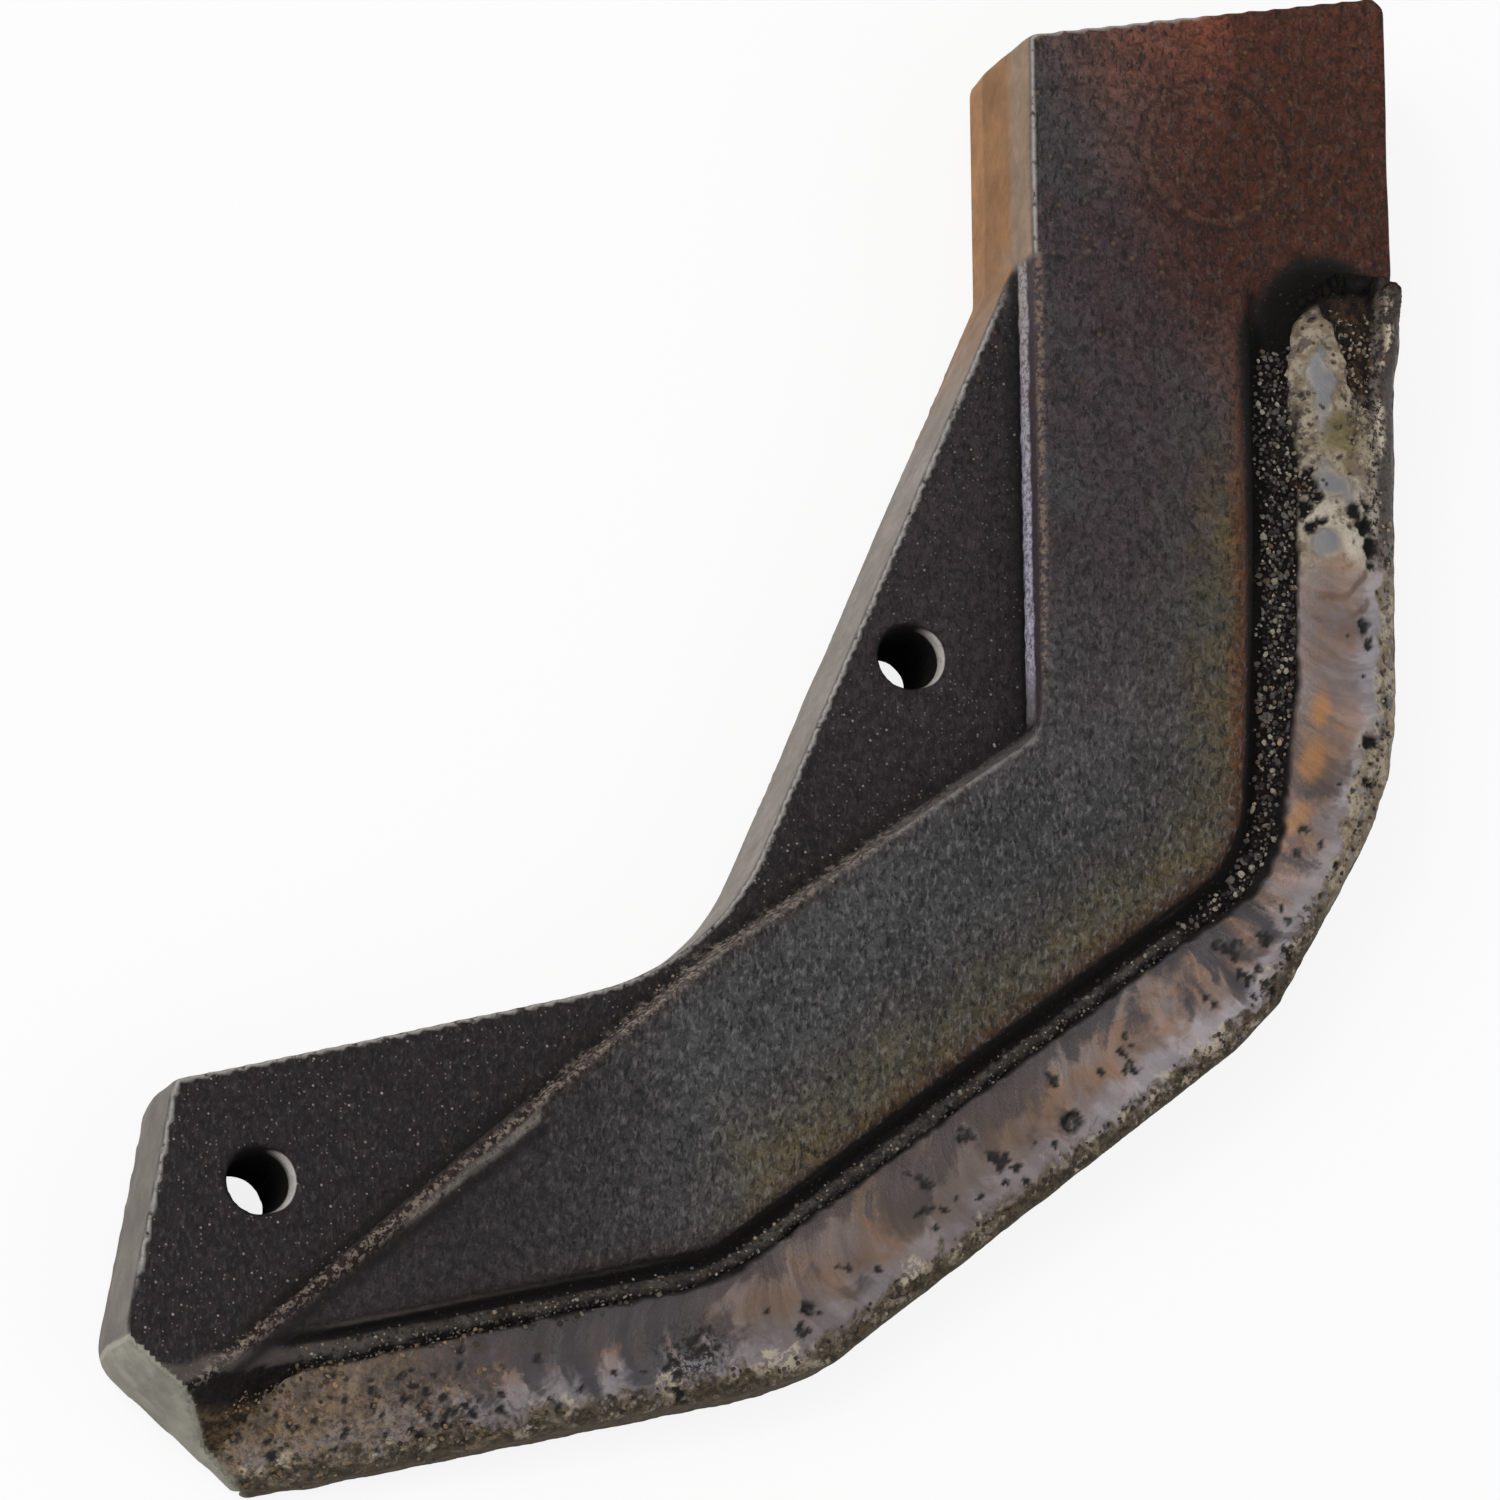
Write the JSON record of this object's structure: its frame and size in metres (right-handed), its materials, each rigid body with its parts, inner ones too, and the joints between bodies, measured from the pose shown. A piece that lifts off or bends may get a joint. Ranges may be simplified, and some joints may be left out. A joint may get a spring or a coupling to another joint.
{
  "type": "sowing coulter",
  "caption": "Forged sowing coulter for a seed drill: a thick shank, recessed mounting pads with bolt holes, and a blade that sweeps forward to a toe, with hardfacing along its leading edge.",
  "frame": {"origin": "axis of the upper bolt hole, on the flat back face", "axes": "+Y runs up the shank, +Z is the thickness from the flat back to the stepped front, and +X points to the leading edge"},
  "size_m": [0.1798, 0.2198, 0.0259],
  "materials": {
    "forged_body": "dark forging scale with a grain, heat tints beside the weld and brown at the shank's top",
    "weld_metal": "as-laid weld bead with ripples, temper colours, pores and a pale crust"
  },
  "bodies": {
    "root": {"coulter_body": "forged_body", "hardfacing_weld": "weld_metal"}
  },
  "joints": []
}
